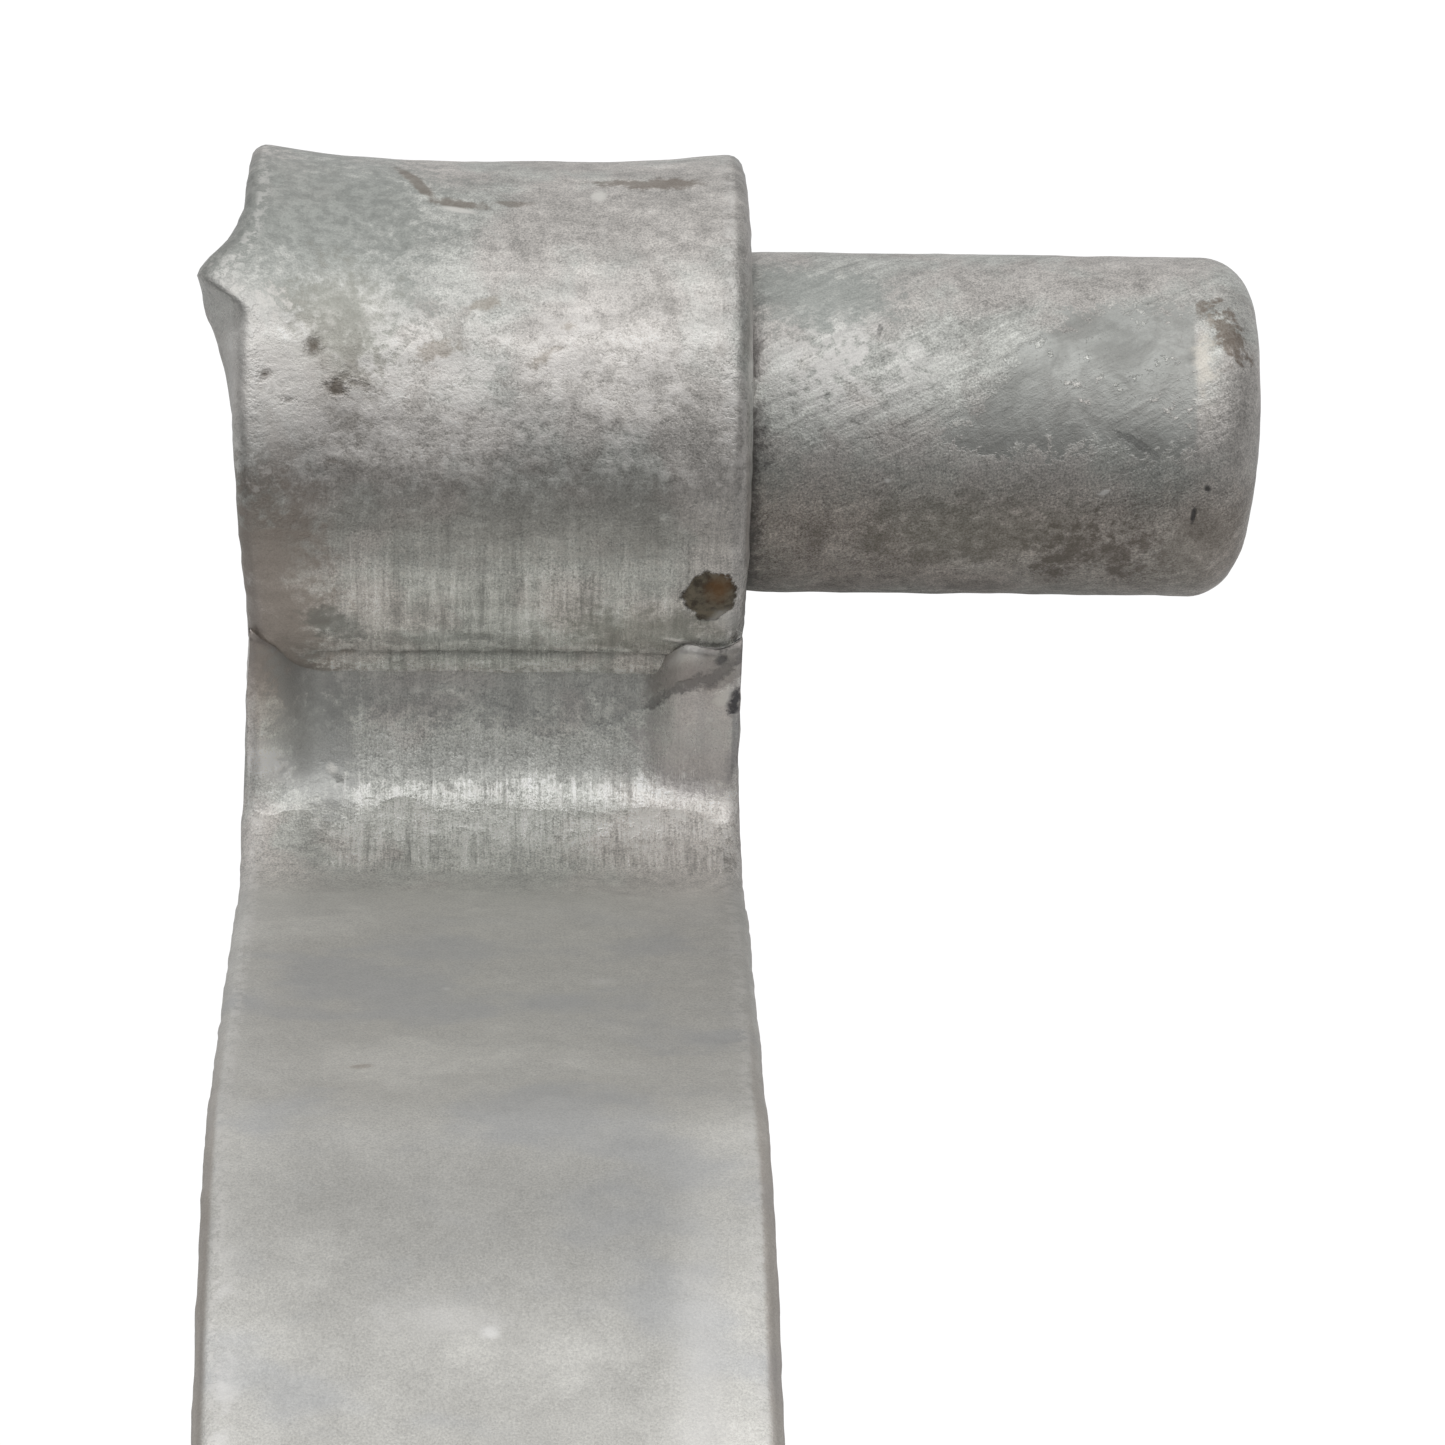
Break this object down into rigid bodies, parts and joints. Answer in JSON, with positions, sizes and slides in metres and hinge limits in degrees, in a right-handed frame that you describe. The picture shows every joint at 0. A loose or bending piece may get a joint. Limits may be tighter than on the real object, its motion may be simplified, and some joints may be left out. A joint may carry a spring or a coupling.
{
  "type": "strap hinge",
  "caption": "Cranked flat-bar strap hinge half with a rolled eye round a bare round pin, dressed seam weld, bolt holes along the blade, hot-dip galvanised.",
  "frame": {"origin": "centre of the flat face at the pin's free end, which is on the pin's axis", "axes": "+X along the pin's axis, out of the free end; -Y along the blade from the eye to its rounded tip, so +Y is the object's long direction; +Z the front, the side the crank lifts the blade towards"},
  "size_m": [0.06, 0.2652, 0.0305],
  "materials": {
    "galvanised_strap": "hot-dip galvanised, ground along the bar before dipping, dull satin",
    "galvanised_pin": "hot-dip galvanised round bar, satin with diagonal brush marks",
    "galvanised_weld": "ground weld bead under zinc, satin, with a rust-brown pit"
  },
  "bodies": {
    "strap": {"strap_leaf": "galvanised_strap", "eye_seam_weld": "galvanised_weld"},
    "pin": {"hinge_pin": "galvanised_pin"}
  },
  "joints": [
    {"name": "pin_turn", "type": "hinge", "parent": "strap", "child": "pin", "pos_m": [-0.03, 0, 0], "axis": [1, 0, 0], "continuous": true}
  ]
}
